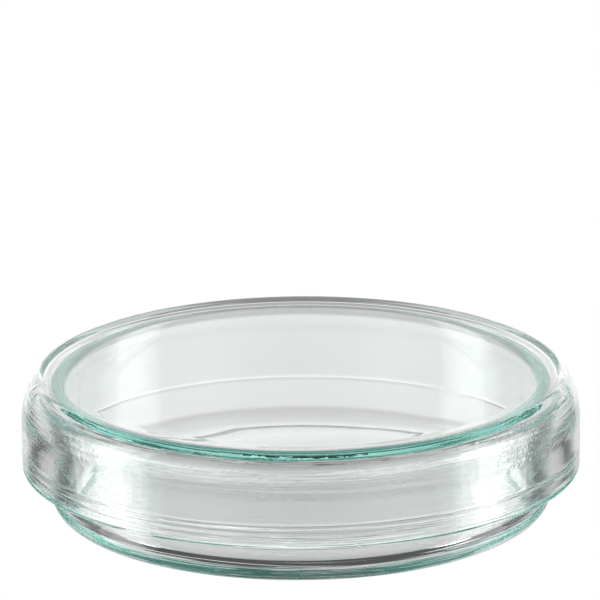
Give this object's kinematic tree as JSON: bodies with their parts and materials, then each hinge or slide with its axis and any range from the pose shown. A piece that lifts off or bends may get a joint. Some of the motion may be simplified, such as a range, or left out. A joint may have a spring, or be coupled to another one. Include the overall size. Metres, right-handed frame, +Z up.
{
  "type": "glass petri dish",
  "caption": "Shallow round clear-glass dish with a straight wall and rounded rim, closed by a wider loose glass lid that rests on the rim and lifts straight off.",
  "frame": {"origin": "centre of the dish's underside, where the closed dish stands on a bench", "axes": "+Z up along the common axis of dish and lid; X and Y are interchangeable because both pieces are bodies of revolution"},
  "size_m": [0.06, 0.06, 0.015],
  "materials": {
    "dish_glass": "clear, fire-polished",
    "lid_glass": "clear, fire-polished"
  },
  "bodies": {
    "dish": {"dish": "dish_glass"},
    "lid": {"lid": "lid_glass"}
  },
  "joints": [
    {"name": "lid_lift", "type": "slide", "parent": "dish", "child": "lid", "axis": [0, 0, 1], "range_m": [0, 0.03]}
  ]
}
